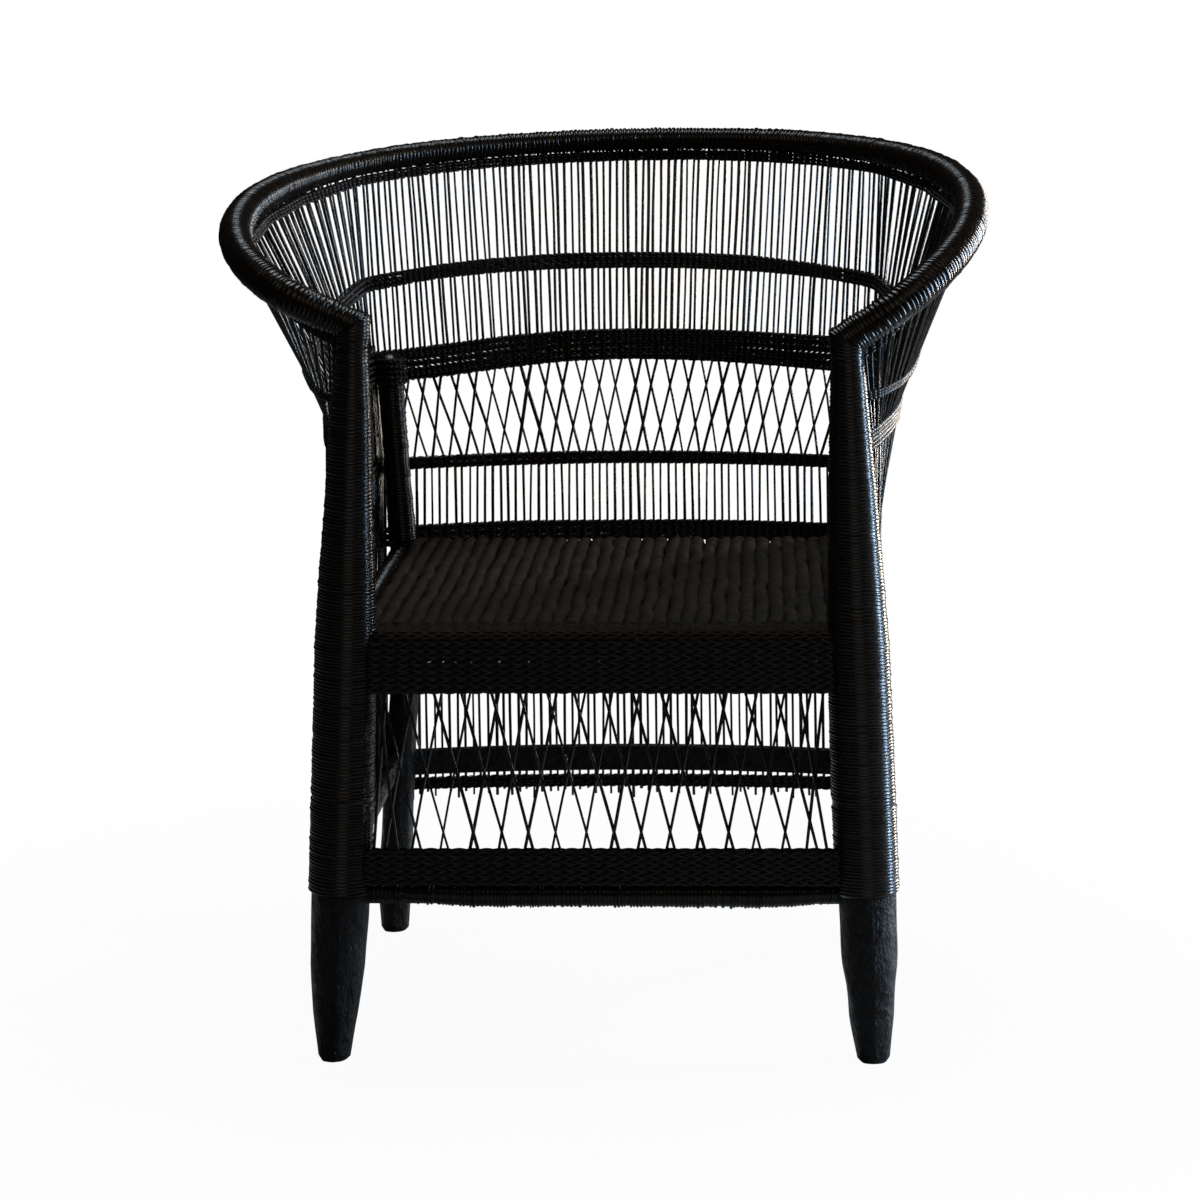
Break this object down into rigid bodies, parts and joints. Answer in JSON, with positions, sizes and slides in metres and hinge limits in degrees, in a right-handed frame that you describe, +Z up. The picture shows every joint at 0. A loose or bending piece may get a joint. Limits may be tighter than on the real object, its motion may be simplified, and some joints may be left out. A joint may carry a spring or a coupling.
{
  "type": "woven cane armchair",
  "caption": "Low-armed woven cane armchair: hewn front posts, a wrapped horseshoe rim rising to the back, flared cane panels with a crossed back, a ribbed seat and a crossed front skirt.",
  "frame": {"origin": "centre of the chair's outer box, at floor level", "axes": "+Z up; the open front faces -Y; +X is to the right as the chair is seen from the front"},
  "size_m": [0.7278, 0.6277, 0.82],
  "materials": {
    "painted_leg": "hand-hewn pole painted satin black",
    "painted_pole": "round pole painted black",
    "peg_wood": "bare hardwood peg",
    "cane_wrapping": "close turns of split cane, glossy black",
    "twined_band": "twined split cane, glossy black",
    "panel_cane": "thin split cane, black with brown glints",
    "seat_weave": "cane bundles bound side by side, dull brown-black"
  },
  "bodies": {
    "root": {"arm_band": "twined_band", "back_left_leg": "painted_leg", "back_left_leg_wrap": "cane_wrapping", "back_right_leg": "painted_leg", "back_right_leg_wrap": "cane_wrapping", "back_seat_rail": "painted_pole", "back_stretcher": "painted_pole", "bottom_band": "twined_band", "front_bottom_band": "twined_band", "front_bottom_rail": "painted_pole", "front_bottom_rail_wrap": "cane_wrapping", "front_canes_inner": "panel_cane", "front_canes_outer": "panel_cane", "front_left_leg": "painted_leg", "front_left_leg_wrap": "cane_wrapping", "front_right_leg": "painted_leg", "front_right_leg_wrap": "cane_wrapping", "front_seat_band": "twined_band", "front_seat_rail": "painted_pole", "lattice_canes_inner": "panel_cane", "lattice_canes_outer": "panel_cane", "left_arm_lashing": "cane_wrapping", "left_arm_peg": "peg_wood", "left_back_lashing": "cane_wrapping", "left_seat_rail": "painted_pole", "left_seat_rail_wrap": "cane_wrapping", "left_stretcher": "painted_pole", "lower_canes_back": "panel_cane", "lower_canes_left": "panel_cane", "lower_canes_right": "panel_cane", "mid_band": "twined_band", "middle_canes_left": "panel_cane", "middle_canes_right": "panel_cane", "right_arm_lashing": "cane_wrapping", "right_arm_peg": "peg_wood", "right_back_lashing": "cane_wrapping", "right_seat_rail": "painted_pole", "right_seat_rail_wrap": "cane_wrapping", "right_stretcher": "painted_pole", "rim_band": "twined_band", "rim_pole": "painted_pole", "rim_wrap": "cane_wrapping", "seat_band": "twined_band", "seat_bar_front": "painted_pole", "seat_bar_rear": "painted_pole", "seat_ribs": "seat_weave", "upper_band": "twined_band", "upper_canes_back": "panel_cane", "upper_canes_left": "panel_cane", "upper_canes_right": "panel_cane"}
  },
  "joints": []
}
